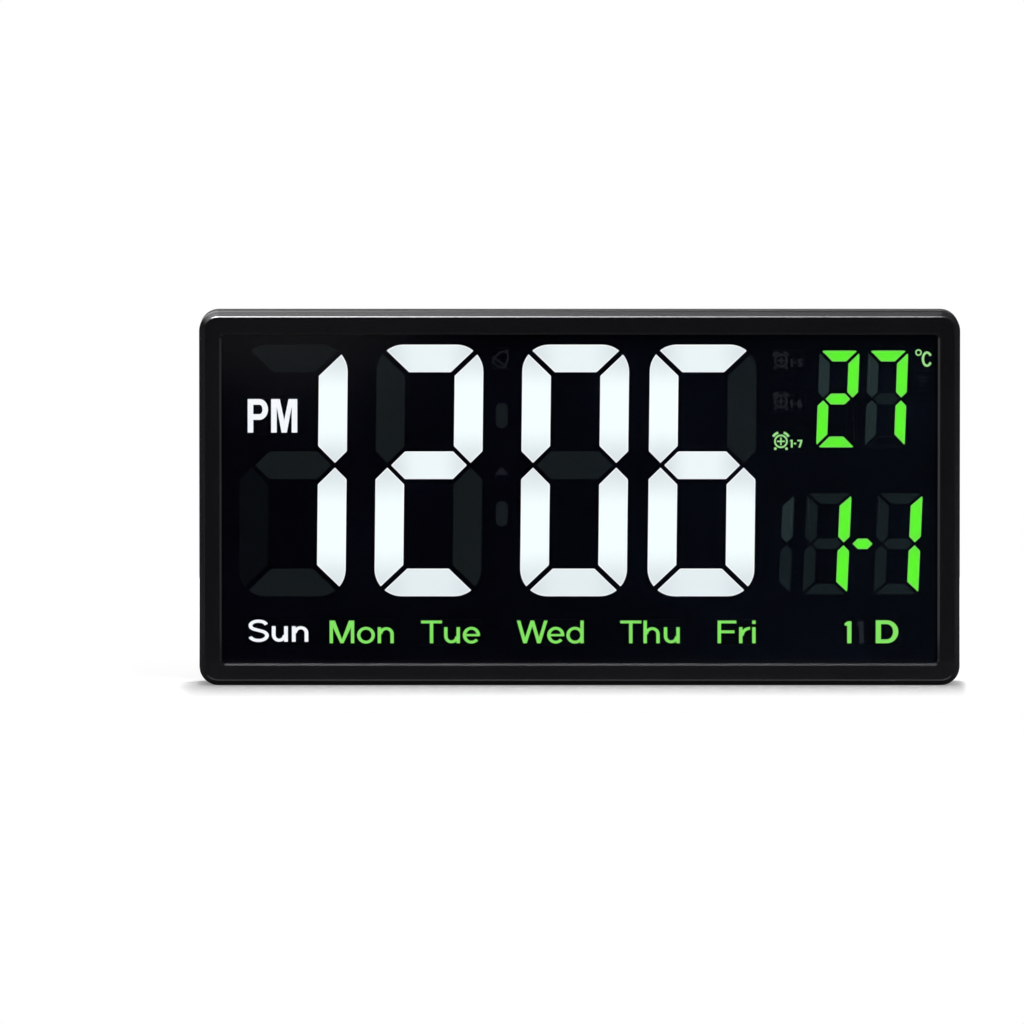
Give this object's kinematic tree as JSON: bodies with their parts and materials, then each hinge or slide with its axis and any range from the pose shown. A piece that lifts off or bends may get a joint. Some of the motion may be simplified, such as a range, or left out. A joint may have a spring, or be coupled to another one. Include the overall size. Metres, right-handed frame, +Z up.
{
  "type": "digital wall clock",
  "caption": "Wide digital wall clock with large segment digits, temperature, date and weekday signs behind a smoked panel, wall keyholes and a fold-out desk stand.",
  "frame": {"origin": "middle of the case's footprint, on the surface that its flat bottom edge stands on", "axes": "+Z up, +X to the right of someone reading the display, the display faces -Y and the wall is at +Y"},
  "size_m": [0.305, 0.028, 0.15],
  "materials": {
    "bezel": "glossy black moulding",
    "lens": "smoked clear acrylic, polished",
    "case_back": "black moulding, fine matt texture",
    "housing": "black light box, matt",
    "white_diffuser": "milky white diffuser, lit from behind",
    "green_diffuser": "milky green diffuser, lit from behind",
    "board": "green solder mask",
    "white_led": "white package with a yellow lens",
    "green_led": "clear green package",
    "chip": "black moulded package",
    "dark_gloss": "dark infrared-clear package",
    "black_plastic": "black moulding",
    "aluminium_can": "bare aluminium",
    "steel": "bright zinc plate",
    "nickel": "nickel plate",
    "button_grey": "dark grey moulding, satin"
  },
  "bodies": {
    "clock": {"front_bezel": "bezel", "front_lens": "lens", "rear_cover": "case_back", "case_screws": "steel", "display_housing": "housing", "hour_tens_segments": "white_diffuser", "hour_units_segments": "white_diffuser", "minute_tens_segments": "white_diffuser", "minute_units_segments": "white_diffuser", "colon_windows": "white_diffuser", "temperature_tens_segments": "green_diffuser", "temperature_units_segments": "green_diffuser", "date_half_segments": "green_diffuser", "date_left_segments": "green_diffuser", "date_right_segments": "green_diffuser", "date_dash_window": "green_diffuser", "weekday_windows": "green_diffuser", "legend_windows": "green_diffuser", "white_leds": "white_led", "green_leds": "green_led", "main_board": "board", "board_screws": "steel", "microcontroller": "chip", "led_drivers": "chip", "clock_crystal": "nickel", "filter_capacitors": "aluminium_can", "ir_receiver": "dark_gloss", "temperature_sensor": "chip", "buzzer": "black_plastic", "power_jack": "black_plastic", "power_jack_pin": "nickel", "tact_switches": "chip", "cell_holder": "black_plastic", "coin_cell": "nickel", "cell_clip": "nickel", "cell_contact": "nickel"},
    "stand": {"fold_out_stand": "case_back"},
    "battery_cover": {"battery_cover": "case_back"},
    "button_mode": {"button_mode": "button_grey", "plunger_mode": "black_plastic"},
    "button_up": {"button_up": "button_grey", "plunger_up": "black_plastic"},
    "button_down": {"button_down": "button_grey", "plunger_down": "black_plastic"},
    "button_alarm": {"button_alarm": "button_grey", "plunger_alarm": "black_plastic"}
  },
  "joints": [
    {"name": "stand_fold", "type": "hinge", "parent": "clock", "child": "stand", "pos_m": [0, 0.0115, 0.0772], "axis": [1, 0, 0], "range_deg": [0, 30]},
    {"name": "battery_cover_turn", "type": "hinge", "parent": "clock", "child": "battery_cover", "pos_m": [-0.1148, 0.014, 0.045], "axis": [0, 1, 0], "range_deg": [0, 35]},
    {"name": "button_mode_press", "type": "slide", "parent": "clock", "child": "button_mode", "axis": [0, -1, 0], "range_m": [0, 0.0005], "stiffness_N_per_m": 2000, "springref_m": -0.0002},
    {"name": "button_up_press", "type": "slide", "parent": "clock", "child": "button_up", "axis": [0, -1, 0], "range_m": [0, 0.0005], "stiffness_N_per_m": 2000, "springref_m": -0.0002},
    {"name": "button_down_press", "type": "slide", "parent": "clock", "child": "button_down", "axis": [0, -1, 0], "range_m": [0, 0.0005], "stiffness_N_per_m": 2000, "springref_m": -0.0002},
    {"name": "button_alarm_press", "type": "slide", "parent": "clock", "child": "button_alarm", "axis": [0, -1, 0], "range_m": [0, 0.0005], "stiffness_N_per_m": 2000, "springref_m": -0.0002}
  ]
}
